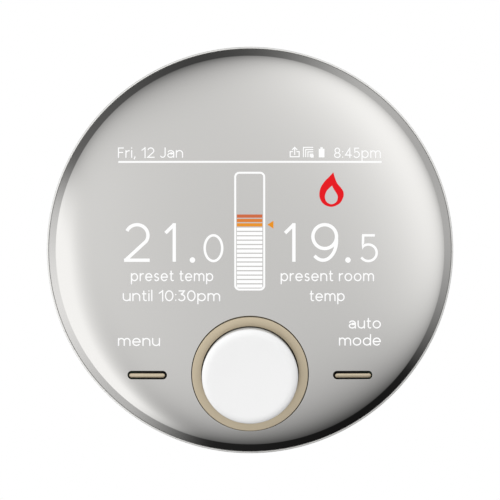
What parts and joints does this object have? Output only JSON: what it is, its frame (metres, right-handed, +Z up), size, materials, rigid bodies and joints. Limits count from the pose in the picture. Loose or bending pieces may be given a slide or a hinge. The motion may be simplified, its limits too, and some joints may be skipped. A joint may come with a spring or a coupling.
{
  "type": "wall thermostat",
  "caption": "Round domed wall thermostat with a display behind its silver front, a press-and-turn dial and slot push keys, on a screw-fixed wall plate.",
  "frame": {"origin": "centre of the wall plate's back face, where it meets the wall", "axes": "+Z up, +Y into the wall; the display, dial and keys face -Y, and +X is to the right of someone facing them"},
  "size_m": [0.1, 0.0336, 0.1],
  "materials": {
    "plate_plastic": "white moulded plastic, finely textured",
    "case_plastic": "satin light grey moulded plastic",
    "silver_cover": "metallised plastic, glossy warm silver, half-mirrored over the display",
    "gold_ring": "satin champagne anodised",
    "gold_key": "satin champagne anodised",
    "white_cap": "glossy white",
    "collar_plastic": "dark grey, slightly glossy",
    "hub_plastic": "black glass-filled plastic",
    "black_plastic": "black moulded plastic",
    "socket_plastic": "ivory connector plastic",
    "plunger_plastic": "black hard plastic",
    "zinc_steel": "zinc-plated screw steel",
    "nickel_contact": "nickel-plated spring steel",
    "shaft_metal": "machined shaft",
    "bushing_brass": "turned brass",
    "encoder_case": "stamped and folded metal can",
    "switch_metal": "black switch body with a tin cover",
    "snap_dome_metal": "silvered snap dome",
    "circuit_board": "green solder mask over glass laminate",
    "radio_shield": "tinned shield can",
    "chip_plastic": "black moulded package",
    "capacitor_can": "dark sleeved aluminium can",
    "sensor_resin": "black dipped bead",
    "light_guide": "clear acrylic light guide with a white back",
    "display_glass": "dark glass stack of a segment display",
    "ribbon_film": "amber flexible circuit film",
    "cell_jacket": "printed dark jacket of an AA cell, no lettering"
  },
  "bodies": {
    "wall_plate": {"wall_plate": "plate_plastic", "wall_screw_left": "zinc_steel", "wall_screw_right": "zinc_steel"},
    "head": {"rear_cover": "case_plastic", "front_cover": "silver_cover", "case_screw_1": "zinc_steel", "case_screw_2": "zinc_steel", "case_screw_3": "zinc_steel", "case_screw_4": "zinc_steel", "main_board": "circuit_board", "main_board_screw_1": "zinc_steel", "main_board_screw_2": "zinc_steel", "main_board_screw_3": "zinc_steel", "radio_module": "radio_shield", "controller_chip": "chip_plastic", "capacitor": "capacitor_can", "temperature_sensor": "sensor_resin", "display_backlight": "light_guide", "display_glass": "display_glass", "display_frame": "black_plastic", "display_ribbon": "ribbon_film", "display_socket": "socket_plastic", "menu_legend_light": "light_guide", "mode_legend_light": "light_guide", "battery_1": "cell_jacket", "battery_2": "cell_jacket", "battery_bridge_plate": "nickel_contact", "battery_positive_plate": "nickel_contact", "battery_negative_plate": "nickel_contact", "battery_spring_1": "nickel_contact", "battery_spring_2": "nickel_contact", "menu_switch_body": "switch_metal", "mode_switch_body": "switch_metal", "encoder_bushing": "bushing_brass", "encoder_body": "encoder_case", "encoder_snap_dome": "snap_dome_metal", "dial_board": "circuit_board", "dial_board_screw_left": "zinc_steel", "dial_board_screw_right": "zinc_steel", "dial_ribbon": "ribbon_film"},
    "dial_press": {"encoder_plunger": "plunger_plastic"},
    "dial": {"dial_ring": "gold_ring", "dial_cap": "white_cap", "dial_collar": "collar_plastic", "dial_hub": "hub_plastic", "encoder_shaft": "shaft_metal"},
    "menu_key": {"menu_key": "gold_key", "menu_switch_plunger": "plunger_plastic"},
    "mode_key": {"mode_key": "gold_key", "mode_switch_plunger": "plunger_plastic"}
  },
  "joints": [
    {"name": "head_pull_off", "type": "slide", "parent": "wall_plate", "child": "head", "axis": [0, -1, 0], "range_m": [0, 0.025]},
    {"name": "dial_push", "type": "slide", "parent": "head", "child": "dial_press", "axis": [0, 0.983, 0.1835], "range_m": [0, 0.0005], "stiffness_N_per_m": 800, "springref_m": -0.003},
    {"name": "dial_turn", "type": "hinge", "parent": "dial_press", "child": "dial", "pos_m": [0, -0.0279, -0.03045], "axis": [0, 0.983, 0.1835], "continuous": true},
    {"name": "menu_key_push", "type": "slide", "parent": "head", "child": "menu_key", "axis": [0, 1, 0], "range_m": [0, 0.0004], "stiffness_N_per_m": 500, "springref_m": -0.002},
    {"name": "mode_key_push", "type": "slide", "parent": "head", "child": "mode_key", "axis": [0, 1, 0], "range_m": [0, 0.0004], "stiffness_N_per_m": 500, "springref_m": -0.002}
  ]
}
